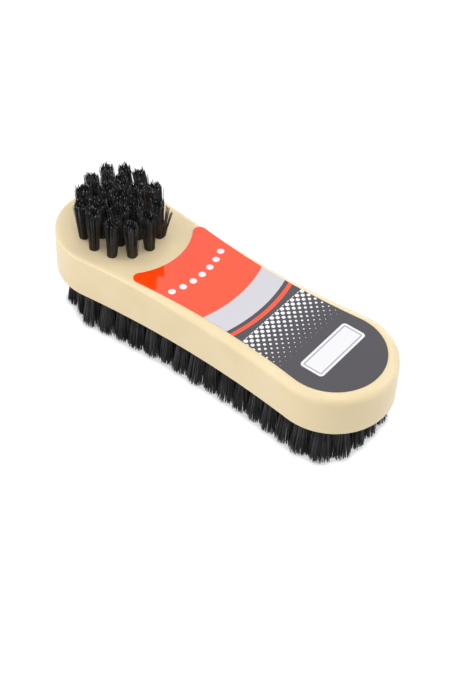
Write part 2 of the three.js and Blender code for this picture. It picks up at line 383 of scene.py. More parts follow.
@dataclass(frozen=True)
class WaistedPlan:
    """Two round ends joined by a shallow concave waist, with the heel at +X."""

    length: float
    end_radius: float
    waist_half_width: float
    end_steps: int = 64
    waist_steps: int = 28

    @property
    def end_x(self) -> float:
        """Distance of each end's centre from the middle."""
        return self.length / 2 - self.end_radius

    @property
    def waist_radius(self) -> float:
        """Radius of the waist arc that touches both ends."""
        narrowing = self.end_radius - self.waist_half_width
        return (self.end_x ** 2 + self.waist_half_width ** 2 - self.end_radius ** 2) / (2 * narrowing)

    @property
    def waist_y(self) -> float:
        """Distance of the waist arcs' centres from the middle line."""
        return self.waist_radius + self.waist_half_width

    @property
    def end_sweep(self) -> float:
        """Angle from the X axis at which an end meets the waist."""
        return math.atan2(self.waist_y, -self.end_x)

    @property
    def start(self) -> tuple[float, float]:
        """Point where the heel arc begins."""
        return (self.end_x + self.end_radius * math.cos(self.end_sweep),
                -self.end_radius * math.sin(self.end_sweep))

    def arcs(self) -> list[Arc]:
        """Draw the plan as four arcs.

        Returns:
            The arcs, anticlockwise from the start of the heel.
        """
        end = 2 * self.end_sweep
        waist = math.pi - end
        return [
            Arc(self.end_x, 0, end, self.end_steps),
            Arc(0, self.waist_y, waist, self.waist_steps),
            Arc(-self.end_x, 0, end, self.end_steps),
            Arc(0, -self.waist_y, waist, self.waist_steps),
        ]

    def row(self, inset: float, pitch: float, ends: RowEnds) -> np.ndarray:
        """Space tufts evenly along the plan moved inwards, with flatter ends.

        Args:
            inset: distance from the plan's edge along the waist.
            pitch: wanted distance between the tufts.
            ends: how the row turns at the ends.

        Returns:
            x and y of the tufts.
        """
        radius, waist = self.end_radius - inset, self.waist_radius + inset
        bend = np.linspace(self.end_sweep - math.pi, -self.end_sweep, self.waist_steps, endpoint=False)
        side = np.stack([waist * np.cos(bend), self.waist_y + waist * np.sin(bend)], axis=1)
        heel = self.row_end(radius, ends.heel_setback, ends.heel_squareness)
        toe = -self.row_end(radius, ends.toe_setback, ends.toe_squareness)
        line = np.concatenate([heel, side, toe, -side, heel[:1]])
        spans = np.linalg.norm(np.diff(line, axis=0), axis=1)
        lengths = np.concatenate([[0], np.cumsum(spans)])
        count = round(lengths[-1] / pitch)
        marks = (np.arange(count) + 0.5) * lengths[-1] / count
        return np.column_stack([np.interp(marks, lengths, line[:, 0]),
                                np.interp(marks, lengths, line[:, 1])])

    def row_end(self, radius: float, setback: float, squareness: float) -> np.ndarray:
        """Give the heel end of a row, flattened beyond the end's centre.

        Args:
            radius: radius of the end before it is flattened.
            setback: how far the end stops short.
            squareness: power that squares the turn, 1 for an oval.

        Returns:
            Points of the end, anticlockwise.
        """
        turn = np.linspace(-self.end_sweep, self.end_sweep, self.end_steps, endpoint=False)
        along, across = np.cos(turn), np.sin(turn)
        beyond = along > 0
        flat = (radius - setback) * np.abs(along) ** squareness
        square = radius * np.sign(across) * np.abs(across) ** squareness
        return np.stack([self.end_x + np.where(beyond, flat, radius * along),
                         np.where(beyond, square, radius * across)], axis=1)


def sweep_outline(name: str, start: tuple[float, float], arcs: list[Arc], height: float) -> Piece:
    """Draw a closed flat outline by sweeping one corner along arcs, and fill it.

    Args:
        name: name of the new object.
        start: point where the first arc begins.
        arcs: arcs that follow each other round to the start.
        height: level of the outline.

    Returns:
        An object with one upward face, in edit mode with that face selected.
    """
    bpy.ops.object.select_all(action="DESELECT")
    bpy.ops.mesh.primitive_plane_add(size=MM, location=(*start, height))
    piece = bpy.context.object
    piece.name = name
    piece.data.name = name
    bpy.ops.object.transform_apply(location=True)
    bpy.ops.object.mode_set(mode="EDIT")
    bpy.context.tool_settings.mesh_select_mode = (True, False, False)
    bpy.ops.mesh.select_all(action="SELECT")
    bpy.ops.mesh.merge(type="CENTER")
    for arc in arcs:
        bpy.ops.mesh.spin(steps=arc.steps, angle=arc.sweep, center=(arc.x, arc.y, height),
                          axis=(0, 0, -1))
    bpy.ops.mesh.select_all(action="SELECT")
    bpy.ops.mesh.remove_doubles(threshold=TOLERANCE)
    bpy.ops.mesh.edge_face_add()
    bpy.ops.object.mode_set(mode="OBJECT")
    if piece.data.polygons[0].normal.z < 0:
        piece.data.flip_normals()
    pick_faces(piece, lambda face: True)
    return piece


# Finishes


@dataclass(frozen=True)
class MouldedPolypropylene:
    """Cream polypropylene from a fine-eroded mould: satin, a little waxy, with a slight orange peel."""

    pale: str = "#F0DFBA"
    deep: str = "#E6D1A6"
    cloud_size: float = 24 * MM
    cloud_range: tuple[float, float] = (0.1, 0.9)
    gloss_range: tuple[float, float] = (0.3, 0.7)
    peel_size: float = 0.9 * MM
    peel_depth: float = 0.006 * MM
    roughness: tuple[float, float] = (0.31, 0.37)
    refraction: float = 1.49
    mirror_level: float = 0.33
    wax_share: float = 0.06
    wax_depth: tuple[float, float, float] = (3 * MM, 2 * MM, 1 * MM)

    def build(self) -> bpy.types.Material:
        """Build the material: soft clouds in the colour, an even satin gloss and a fine peel.

        Returns:
            The material.
        """
        material, graph, shader = new_material("cream_moulded_polypropylene")
        place = graph.place()
        cloud = graph.noise(place, self.cloud_size, detail=3.0)
        peel = graph.noise(place, self.peel_size, roughness=0.6)
        graph.fill(shader, {
            "Base Color": graph.ramp(cloud, zip(self.cloud_range, (self.deep, self.pale))),
            "Roughness": graph.spread(cloud, self.roughness, *self.gloss_range),
            "Normal": graph.bump(peel, self.peel_depth),
            "IOR": self.refraction,
            "Specular IOR Level": self.mirror_level,
            "Subsurface Weight": self.wax_share,
            "Subsurface Radius": self.wax_depth,
            "Subsurface Scale": 1.0,
        })
        return material


@dataclass(frozen=True)
class PrintedFilm:
    """Glossy printed vinyl film: flat inks under a clear face that mirrors what is round it.

    The sizes of the print are in millimetres.
    """

    applicator_x: float
    orange: str = "#FF4507"
    pale_grey: str = "#CCCBD2"
    mid_grey: str = "#A5A2AA"
    dark_grey: str = "#36333B"
    white: str = "#E8E7EA"
    orange_reach: float = 60.0
    pale_reach: float = 71.0
    ring_start: float = 73.2
    ring_end: float = 74.8
    ramp_reach: float = 150.0
    dot_ring: float = 42.0
    dot_pitch: float = 5.2
    dot_radius: float = 1.5
    dot_fan: float = 0.44
    screen_angle: float = math.radians(45)
    screen_pitch: float = 2.3
    screen_dot: float = 0.42
    screen_from: float = 25.0
    screen_to: float = 46.0
    panel_x: float = 54.0
    panel_half: tuple[float, float] = (5.3, 14.5)
    panel_corner: float = 1.6
    keyline_inset: float = 1.3
    keyline_width: float = 0.55
    ripple_size: float = 7.0
    ripple_depth: float = 0.02 * MM
    roughness: float = 0.06
    refraction: float = 1.5

    def build(self) -> bpy.types.Material:
        """Build the material: bands round the applicator, rows of dots and a plain panel.

        Returns:
            The material.
        """
        material, graph, shader = new_material("printed_vinyl_film")
        plan = graph.vector_maths("MULTIPLY", graph.place(), (1 / MM, 1 / MM, 0))
        along = graph.add("SeparateXYZ", {0: plan}).outputs["X"]
        centre = (self.applicator_x / MM, 0, 0)
        reach = graph.vector_maths("DISTANCE", plan, centre)
        edge = self.panel_distance(graph, plan)
        keyline = graph.maths("ABSOLUTE", graph.maths("ADD", edge, self.keyline_inset))
        layers = [
            (self.dot_row(graph, plan, centre, reach), self.white),
            (self.screen(graph, plan, along), self.white),
            (graph.maths("LESS_THAN", edge, 0.0), self.white),
            (graph.maths("LESS_THAN", keyline, self.keyline_width / 2), self.mid_grey),
        ]
        print_colour = self.bands(graph, reach)
        for mask, colour in layers:
            print_colour = graph.overlay(mask, print_colour, colour)
        ripple = graph.noise(plan, self.ripple_size)
        graph.fill(shader, {
            "Base Color": print_colour, "Normal": graph.bump(ripple, self.ripple_depth),
            "Roughness": self.roughness, "IOR": self.refraction,
        })
        return material

    def bands(self, graph: Graph, reach: Socket) -> Socket:
        """Colour the film in bands by the distance from the applicator's centre.

        Args:
            graph: nodes of the film.
            reach: distance from the applicator's centre in millimetres.

        Returns:
            Colour socket.
        """
        starts = [
            (0.0, self.orange), (self.orange_reach, self.pale_grey),
            (self.pale_reach, self.dark_grey), (self.ring_start, self.orange),
            (self.ring_end, self.dark_grey),
        ]
        share = graph.maths("DIVIDE", reach, self.ramp_reach)
        stops = [(start / self.ramp_reach, colour) for start, colour in starts]
        return graph.ramp(share, stops, stepped=True)

    def dot_row(self, graph: Graph, plan: Socket, centre: tuple[float, float, float],
                reach: Socket) -> Socket:
        """Mask a row of round dots on a ring about the applicator.

        Args:
            graph: nodes of the film.
            plan: place in plan in millimetres.
            centre: the applicator's centre in millimetres.
            reach: distance from that centre.

        Returns:
            Mask socket, 1 inside the dots.
        """
        spoke = graph.add("SeparateXYZ", {0: graph.vector_maths("SUBTRACT", plan, centre)})
        angle = graph.maths("ARCTAN2", spoke.outputs["Y"], spoke.outputs["X"])
        turn = graph.maths("MULTIPLY_ADD", angle, self.dot_ring / self.dot_pitch, 0.5)
        cell = graph.maths("FLOORED_MODULO", turn, 1.0)
        across = graph.maths("MULTIPLY_ADD", cell, self.dot_pitch, -self.dot_pitch / 2)
        outwards = graph.maths("SUBTRACT", reach, self.dot_ring)
        spot = graph.add("CombineXYZ", {0: across, 1: outwards}).outputs[0]
        dots = graph.maths("LESS_THAN", graph.vector_maths("LENGTH", spot), self.dot_radius)
        clear = graph.maths("LESS_THAN", graph.maths("ABSOLUTE", angle), self.dot_fan)
        return graph.maths("MULTIPLY", dots, clear)

    def screen(self, graph: Graph, plan: Socket, along: Socket) -> Socket:
        """Mask a screen of dots that shrink towards the heel.

        Args:
            graph: nodes of the film.
            plan: place in plan in millimetres.
            along: place along the block in millimetres.

        Returns:
            Mask socket, 1 inside the dots.
        """
        pitch = self.screen_pitch
        grid = graph.add("Mapping", {"Vector": plan, "Rotation": (0, 0, self.screen_angle)})
        cell = graph.vector_maths("WRAP", grid.outputs[0], (pitch, pitch, 1), (0, 0, 0))
        length = graph.vector_maths("DISTANCE", cell, (pitch / 2, pitch / 2, 0))
        size = graph.spread(along, (self.screen_dot * pitch, 0.0), self.screen_from, self.screen_to)
        dots = graph.maths("LESS_THAN", length, size)
        begun = graph.maths("GREATER_THAN", along, self.screen_from)
        return graph.maths("MULTIPLY", dots, begun)

    def panel_distance(self, graph: Graph, plan: Socket) -> Socket:
        """Measure the distance from the edge of the round-cornered panel.

        Args:
            graph: nodes of the film.
            plan: place in plan in millimetres.

        Returns:
            Distance socket, negative inside the panel.
        """
        corner = self.panel_corner
        inner = (self.panel_half[0] - corner, self.panel_half[1] - corner, 1)
        offset = graph.vector_maths("SUBTRACT", plan, (self.panel_x, 0, 0))
        beyond = graph.vector_maths("SUBTRACT", graph.vector_maths("ABSOLUTE", offset), inner)
        outside = graph.vector_maths("MAXIMUM", beyond, (0, 0, 0))
        return graph.maths("SUBTRACT", graph.vector_maths("LENGTH", outside), corner)


@dataclass(frozen=True)
class BlackFilament:
    """Black nylon filament, extruded and cut: brownish streaks along it, painted shade towards the tips
    and painted glints on a few cut ends.
    """

    name: str
    palest: str
    darkest: str = "#0B0A0C"
    cut_end_glint: str = "#A09EA0"
    glint_from: float = 0.97
    tip_shade_from: float = 0.72
    shaded_tip_tone: float = 0.5
    streak_length: float = 6 * MM
    tones: tuple[float, float] = (0.16, 0.5)
    roughness: tuple[float, float] = (0.36, 0.52)
    sheen: tuple[float, float] = (0.06, 0.5)
    full_sheen_tone: float = 0.3
    refraction: float = 1.53

    def build(self) -> bpy.types.Material:
        """Build the material: each filament's own tone with painted core shade, faint streaks, painted
        shade towards the tips and pale specks of painted glint.

        Returns:
            The material.
        """
        material, graph, shader = new_material(self.name)
        tone, along, speck = (graph.add("Attribute", attribute_name=name).outputs["Fac"]
                              for name in ("tone", "along", "speck"))
        streak = graph.noise(graph.place(), self.streak_length)
        # Painted shade: the filaments darken towards their tips, where the tuft's top lies in shade;
        # this shade also dims the sheen below
        tip_shade = graph.spread(along, (1.0, self.shaded_tip_tone), start=self.tip_shade_from)
        shade = graph.maths("MULTIPLY", graph.maths("MULTIPLY", tone, streak), tip_shade)
        body = graph.ramp(shade, zip(self.tones, (self.darkest, self.palest)))
        # Painted glint: a few filaments get pale cut ends, where light catches the ends at the tips
        cut = graph.maths("MULTIPLY", graph.maths("GREATER_THAN", along, self.glint_from), speck)
        graph.fill(shader, {
            "Base Color": graph.overlay(cut, body, self.cut_end_glint),
            "Roughness": graph.spread(tone, self.roughness),
            "Specular IOR Level": graph.spread(shade, self.sheen, end=self.full_sheen_tone),
            "IOR": self.refraction,
        })
        return material


@dataclass(frozen=True)
class DrawnSteelWire:
    """Flat drawn steel wire: a dull metal gloss with fine draw lines along it."""

    pale: str = "#9C9A94"
    dark: str = "#86847E"
    line_spacing: float = 0.12 * MM
    line_stretch: float = 0.04
    line_range: tuple[float, float] = (0.3, 0.7)
    roughness: tuple[float, float] = (0.28, 0.48)

    def build(self) -> bpy.types.Material:
        """Build the material: draw lines along X in the colour and the roughness.

        Returns:
            The material.
        """
        material, graph, shader = new_material("drawn_steel_wire")
        grain = graph.add("Mapping", {"Vector": graph.place(), "Scale": (self.line_stretch, 1, 1)})
        lines = graph.noise(grain.outputs[0], self.line_spacing)
        graph.fill(shader, {
            "Base Color": graph.ramp(lines, zip(self.line_range, (self.dark, self.pale))),
            "Roughness": graph.spread(lines, self.roughness),
            "Metallic": 1.0,
        })
        return material


# Sub-assemblies


@dataclass
class HandleBlock:
    """Moulded block, drilled on both faces.

    Its shoulder is a slope with a crease below it at the toe and a full round at the heel.
    """

    plan: WaistedPlan
    underside: float
    deck: float
    toe_shoulder: float = 1.8 * MM
    heel_shoulder: float = 3.9 * MM
    grows_from: float = -45 * MM
    grows_to: float = 27 * MM
    crease_slope: float = 0.15
    crease_round: float = 0.3
    crease_power: float = 6.0
    crease_reach: float = 1.1
    lower_edge: float = 0.25 * MM
    round_steps: int = 10
    hold_strip: float = 0.25 * MM
    deck_hole_radius: float = 2.0 * MM
    sole_hole_radius: float = 2.2 * MM
    hole_depth: float = 9 * MM
    mouth_depth: float = 0.3 * MM
    mouth_flare: float = 1.08
    mouth_steps: int = 2
    hole_sides: int = 24

    def growth(self, x: float) -> float:
        """Give the share of the shoulder's growth that is done at a place along the block."""
        share = min(max((x - self.grows_from) / (self.grows_to - self.grows_from), 0.0), 1.0)
        return share * share * (3 - 2 * share)

    def shoulder(self, x: float) -> float:
        """Give the shoulder's radius at a place along the block."""
        return self.toe_shoulder + (self.heel_shoulder - self.toe_shoulder) * self.growth(x)

    def build(self, deck_holes: np.ndarray, sole_holes: np.ndarray) -> Piece:
        """Model the block.

        Args:
            deck_holes: x and y of the holes in the deck.
            sole_holes: x and y of the holes in the underside.

        Returns:
            The drilled block.
        """
        block = sweep_outline("moulded_block", self.plan.start, self.plan.arcs(), self.underside)
        rise = self.deck - self.underside
        bpy.ops.mesh.extrude_region_move(TRANSFORM_OT_translate={"value": (0, 0, rise)})
        self.round_edges(block)
        for level in (self.underside, self.deck):
            pick_faces(block, lambda face: abs(face.center.z - level) < TOLERANCE)
            bpy.ops.mesh.inset(thickness=self.hold_strip)
        bpy.ops.object.mode_set(mode="OBJECT")
        self.drill(block, self.deck, 1, self.deck_hole_radius, deck_holes)
        self.drill(block, self.underside, -1, self.sole_hole_radius, sole_holes)
        select_only(block)
        bpy.ops.object.shade_smooth_by_angle(angle=SMOOTH_ANGLE)
        return block

    def round_edges(self, block: Piece) -> None:
        """Round the lower edge evenly and the shoulder by its place along the block.

        Args:
            block: block with sharp edges.
        """
        bpy.ops.object.mode_set(mode="OBJECT")
        mesh = block.data
        weights = mesh.attributes.new("bevel_weight_edge", "FLOAT", "EDGE")
        for edge in mesh.edges:
            ends = [mesh.vertices[index].co for index in edge.vertices]
            if all(abs(end.z - self.deck) < TOLERANCE for end in ends):
                radius = self.shoulder((ends[0].x + ends[1].x) / 2)
            elif all(abs(end.z - self.underside) < TOLERANCE for end in ends):
                radius = self.lower_edge
            else:
                radius = 0.0
            weights.data[edge.index].value = radius / self.heel_shoulder
        apply_modifier(block, "BEVEL", limit_method="WEIGHT", width=self.heel_shoulder,
                       segments=self.round_steps, use_clamp_overlap=False)
        self.crease(block)

    def crease(self, block: Piece) -> None:
        """Turn the round shoulder into a slope with a crease below it, fully at the toe.

        Args:
            block: block with a round shoulder.
        """
        for vertex in block.data.vertices:
            radius = self.shoulder(vertex.co.x)
            drop = (self.deck - vertex.co.z) / radius
            if drop < self.crease_reach:
                across = math.sqrt(1 - (1 - min(drop, 1.0)) ** 2)
                turn = 1 - math.sqrt(1 - across ** self.crease_power)
                creased = self.crease_slope * across + self.crease_round * turn
                growth = self.growth(vertex.co.x)
                vertex.co.z = self.deck - radius * (growth * drop + (1 - growth) * creased)

    def drill(self, block: Piece, level: float, side: int, radius: float, holes: np.ndarray) -> None:
        """Drill blind holes with a slightly flared mouth into one face.

        Args:
            block: block to drill.
            level: height of the face.
            side: 1 for the deck and -1 for the underside.
            radius: radius of the holes.
            holes: x and y of the holes.
        """
        bpy.ops.object.select_all(action="DESELECT")
        middle = level - side * (self.hole_depth + self.mouth_depth) / 2
        bpy.ops.mesh.primitive_cylinder_add(
            vertices=self.hole_sides, radius=radius,
            depth=self.hole_depth - self.mouth_depth, location=(0, 0, middle))
        drill = bpy.context.object
        bpy.ops.object.transform_apply(location=True)
        pick_faces(drill, lambda face: face.normal.z * side > LEVEL_NORMAL)
        rise = (0, 0, side * self.mouth_depth)
        for _ in range(self.mouth_steps):
            bpy.ops.mesh.extrude_region_move(TRANSFORM_OT_translate={"value": rise})
            bpy.ops.transform.resize(value=(self.mouth_flare, self.mouth_flare, 1))
        bpy.ops.object.mode_set(mode="OBJECT")
        drills = copy_joined(drill, holes)
        apply_modifier(block, "BOOLEAN", operation="DIFFERENCE", object=drills, solver="EXACT")
        bpy.data.objects.remove(drills)

    def dress(self, block: Piece) -> None:
        """Give the block its finish and its place."""
        settle(block, Slot.BLOCK, MouldedPolypropylene().build(), "handle_block")


@dataclass
class PrintedLabel:
    """Film label on the deck, cut round the applicator at its toe end."""

    plan: WaistedPlan
    deck: float
    top: float
    applicator_x: float
    heel_x: float = 54.4 * MM
    heel_radius: float = 21 * MM
    waist_x: float = 13 * MM
    half_width: float = 18.5 * MM
    arc_radius: float = 28 * MM
    tip_radius: float = 2.8 * MM
    tip_steps: int = 10
    edge_strip: float = 0.3 * MM
    askew: float = math.radians(-1.1)
    pivot_x: float = 20 * MM

    def outline(self) -> tuple[tuple[float, float], list[Arc]]:
        """Work out the outline from arcs that touch each other.

        Returns:
            The point where the heel arc begins, and the arcs anticlockwise from there.
        """
        plan = self.plan
        run = self.heel_x - self.waist_x
        narrowing = self.heel_radius - self.half_width
        waist = (run ** 2 + self.half_width ** 2 - self.heel_radius ** 2) / (2 * narrowing)
        waist_y = waist + self.half_width
        heel_sweep = math.atan2(waist_y, -run)
        to_waist = waist + self.tip_radius
        to_applicator = self.arc_radius + self.tip_radius
        back = self.waist_x - self.applicator_x
        apart = math.hypot(back, waist_y)
        along = (apart ** 2 + to_applicator ** 2 - to_waist ** 2) / (2 * apart)
        tip_angle = math.atan2(waist_y, back) - math.acos(along / to_applicator)
        tip_x = self.applicator_x + to_applicator * math.cos(tip_angle)
        tip_y = to_applicator * math.sin(tip_angle)
        waist_angle = math.atan2(tip_y - waist_y, tip_x - self.waist_x)
        waist_sweep = waist_angle + math.pi - heel_sweep
        tip_sweep = tip_angle - waist_angle
        arcs = [
            Arc(self.heel_x, 0, 2 * heel_sweep, plan.end_steps),
            Arc(self.waist_x, waist_y, waist_sweep, plan.waist_steps),
            Arc(tip_x, tip_y, tip_sweep, self.tip_steps),
            Arc(self.applicator_x, 0, -2 * tip_angle, plan.end_steps),
            Arc(tip_x, -tip_y, tip_sweep, self.tip_steps),
            Arc(self.waist_x, -waist_y, waist_sweep, plan.waist_steps),
        ]
        start = (self.heel_x + self.heel_radius * math.cos(heel_sweep),
                 -self.heel_radius * math.sin(heel_sweep))
        return start, arcs

    def build(self) -> Piece:
        """Model the label, stuck on slightly askew.

        Returns:
            The label.
        """
        label = sweep_outline("deck_label", *self.outline(), self.deck)
        thickness = self.top - self.deck
        bpy.ops.mesh.extrude_region_move(TRANSFORM_OT_translate={"value": (0, 0, thickness)})
        bpy.ops.mesh.inset(thickness=self.edge_strip)
        bpy.ops.mesh.select_all(action="SELECT")
        bpy.ops.transform.rotate(value=-self.askew, orient_axis="Z",
                                 center_override=(self.pivot_x, 0, self.deck))
        bpy.ops.object.mode_set(mode="OBJECT")
        select_only(label)
        bpy.ops.object.shade_smooth_by_angle(angle=SMOOTH_ANGLE)
        return label

    def dress(self, label: Piece) -> None:
        """Give the label its print and its place."""
        settle(label, Slot.LABEL, PrintedFilm(self.applicator_x).build(), "label")


@dataclass(frozen=True)
class TuftStyle:
    """How the filaments of a kind of tuft stand."""

    filaments: int
    filament_radius: float
    root_radius: float
    tip_radius: float
    tip_jitter: float
    lean_jitter: float
    length_jitter: float
    tuft_length_jitter: float
    stray_share: float
    stray_reach: float
    speck_share: float
    clumps: int
    gather: float
    clump_tone: float
    shaded_core: float
    rim: float
    curl: float = 1.15


@dataclass(frozen=True)
class Splay:
    """A few filaments of one tuft that are bent outwards by use."""

    tuft: int
    filaments: int
    strands: int
    direction: float
    fan: float
    reach: float
    drop: float
    reach_range: tuple[float, float] = (0.6, 1.0)


@dataclass
class FilamentBrush:
    """Brush of tufts: bundles of filaments that are folded into drilled holes and trimmed level."""

    style: TuftStyle
    root: float
    tips: float
    floor: float
    sides: int = 3
    cuts: tuple[float, ...] = (0.5,)
    tip_narrowing: float = 0.8
    stray_range: tuple[float, float] = (0.4, 1.0)
    unshaded_rim: float = 0.95
    splay: Splay | None = None
    rng: np.random.Generator = field(default_factory=lambda: np.random.default_rng(RANDOM_SEED))

    def filament(self) -> tuple[np.ndarray, list[tuple[int, ...]]]:
        """Model one filament of unit radius and length, with its root at the origin.

        Returns:
            Its corners and its faces.
        """
        bpy.ops.object.select_all(action="DESELECT")
        bpy.ops.mesh.primitive_cylinder_add(vertices=self.sides, radius=1, depth=1,
                                            location=(0, 0, 0.5))
        pattern = bpy.context.object
        bpy.ops.object.transform_apply(location=True)
        bpy.ops.object.mode_set(mode="EDIT")
        for cut in self.cuts:
            bpy.ops.mesh.select_all(action="SELECT")
            bpy.ops.mesh.bisect(plane_co=(0, 0, cut), plane_no=(0, 0, 1))
        pick_faces(pattern, lambda face: face.normal.z > LEVEL_NORMAL)
        bpy.ops.transform.resize(value=(self.tip_narrowing, self.tip_narrowing, 1))
        bpy.ops.object.mode_set(mode="OBJECT")
        corners = np.array([vertex.co[:] for vertex in pattern.data.vertices])
        faces = [tuple(face.vertices) for face in pattern.data.polygons]
        bpy.data.objects.remove(pattern)
        return corners, faces

    def build(self, name: str, places: np.ndarray, leans: np.ndarray, flares: np.ndarray) -> Piece:
        """Copy the filament into every tuft of a brush.

        Args:
            name: name of the new object.
            places: x and y of the tufts' holes.
            leans: how far each tuft's tips are moved in x and y.
            flares: share of the full flare that each tuft has.

        Returns:
            One object with all the filaments. Its attributes are their tone, with painted shade towards
            each tuft's core, the strength of a painted glint on their cut ends, and the place along
            them.
        """
        corners, faces = self.filament()
        tufts = []
        for index, (place, lean, flare) in enumerate(zip(places, leans, flares)):
            root, tip, tone, speck = self.tuft(place, lean, flare)
            if self.splay and index == self.splay.tuft:
                tip, tone = self.splayed(place, tip, tone)
            tufts.append((root, tip, tone, speck))
        roots, tips, tones, specks = (np.concatenate(parts) for parts in zip(*tufts))
        along = corners[:, 2]
        bow = (along ** self.style.curl)[None, :, None]
        points = np.empty((len(roots), len(corners), 3))
        points[:, :, :2] = roots[:, None, :2] + (tips - roots)[:, None, :2] * bow
        points[:, :, 2] = roots[:, None, 2] + (tips - roots)[:, None, 2] * along[None, :]
        turns = self.rng.uniform(0, 2 * math.pi, len(roots))[:, None]
        across = self.style.filament_radius * corners[:, :2]
        points[:, :, 0] += across[:, 0] * np.cos(turns) - across[:, 1] * np.sin(turns)
        points[:, :, 1] += across[:, 0] * np.sin(turns) + across[:, 1] * np.cos(turns)
        copies = [tuple(index + start for index in face)
                  for start in range(0, points.size // 3, len(corners)) for face in faces]
        mesh = bpy.data.meshes.new(name)
        mesh.from_pydata(points.reshape(-1, 3), [], copies)
        mesh.polygons.foreach_set("use_smooth", np.ones(len(copies), dtype=bool))
        for label, values in (("tone", np.repeat(tones, len(corners))),
                              ("speck", np.repeat(specks, len(corners))),
                              ("along", np.tile(along, len(roots)))):
            mesh.attributes.new(label, "FLOAT", "POINT").data.foreach_set("value", values)
        brush = bpy.data.objects.new(name, mesh)
        bpy.context.collection.objects.link(brush)
        return brush

    def tuft(self, place: np.ndarray, lean: np.ndarray, flare: float) -> tuple[np.ndarray, ...]:
        """Lay out the filaments of one tuft, which gather in clumps towards their tips.

        Args:
            place: x and y of the tuft's hole.
            lean: how far the tips are moved in x and y.
            flare: share of the full flare.

        Returns:
            Root points, tip points, tones with painted shade towards the core, and strength of a painted
            glint on the cut end, one for each filament.
        """
        style, rng = self.style, self.rng
        count = style.filaments
        order = np.arange(count)
        radius = ((order + 0.5) / count) ** style.rim
        angle = order * GOLDEN_ANGLE + rng.uniform(0, 2 * math.pi)
        disc = np.stack([radius * np.cos(angle), radius * np.sin(angle)], axis=1)
        centres = disc[rng.choice(count, style.clumps, replace=False)]
        clump = np.argmin(np.linalg.norm(disc[:, None] - centres[None], axis=2), axis=1)
        gathered = disc + style.gather * (centres[clump] - disc)
        lean = lean + rng.normal(0, style.lean_jitter, 2)
        ends = gathered * style.tip_radius * flare + lean
        ends += rng.normal(0, style.tip_jitter, (count, 2))
        strays = rng.random(count) < style.stray_share
        reach = rng.uniform(*self.stray_range, (count, 1)) * style.stray_reach
        ends += np.where(strays[:, None], disc * reach, 0)
        level = rng.normal(0, style.tuft_length_jitter)
        level = level + rng.normal(0, style.length_jitter, style.clumps)[clump]
        levels = self.tips + level + rng.normal(0, style.length_jitter, count)
        roots = np.column_stack([place + disc * style.root_radius, np.full(count, self.root)])
        tips = np.column_stack([place + ends, np.maximum(levels, self.floor)])
        share = style.clump_tone
        tone = share * rng.random(style.clumps)[clump] + (1 - share) * rng.random(count)
        # Painted shade: the tone falls from the rim to nothing towards the tuft's core, where light does
        # not reach
        tone *= np.clip((radius - style.shaded_core) / (self.unshaded_rim - style.shaded_core), 0, 1)
        # Strength of the painted glint on each filament's cut end
        specks = np.clip(1 - rng.random(count) / style.speck_share, 0, 1)
        return roots, tips, tone, specks

    def splayed(self, place: np.ndarray, tips: np.ndarray,
                tones: np.ndarray) -> tuple[np.ndarray, np.ndarray]:
        """Fan the filaments on one side of a tuft outwards, in the palest tone.

        Args:
            place: x and y of the tuft's hole.
            tips: tip points of the tuft.
            tones: tones of the tuft.

        Returns:
            Tip points and tones with those filaments fanned out.
        """
        splay = self.splay
        heading = np.array([math.cos(splay.direction), math.sin(splay.direction)])
        bent = np.argsort((tips[:, :2] - place) @ heading)[-splay.filaments:]
        strand = np.arange(len(bent)) % splay.strands
        turns = splay.direction + np.linspace(-splay.fan, splay.fan, splay.strands)[strand]
        reach = self.rng.uniform(*splay.reach_range, splay.strands)[strand] * splay.reach
        reach += self.rng.normal(0, self.style.tip_jitter / 2, len(bent))
        tips, tones = tips.copy(), tones.copy()
        tips[bent, :2] = place + np.column_stack([np.cos(turns), np.sin(turns)]) * reach[:, None]
        tips[bent, 2] = self.tips - splay.drop * reach
        tones[bent] = 1.0
        return tips, tones


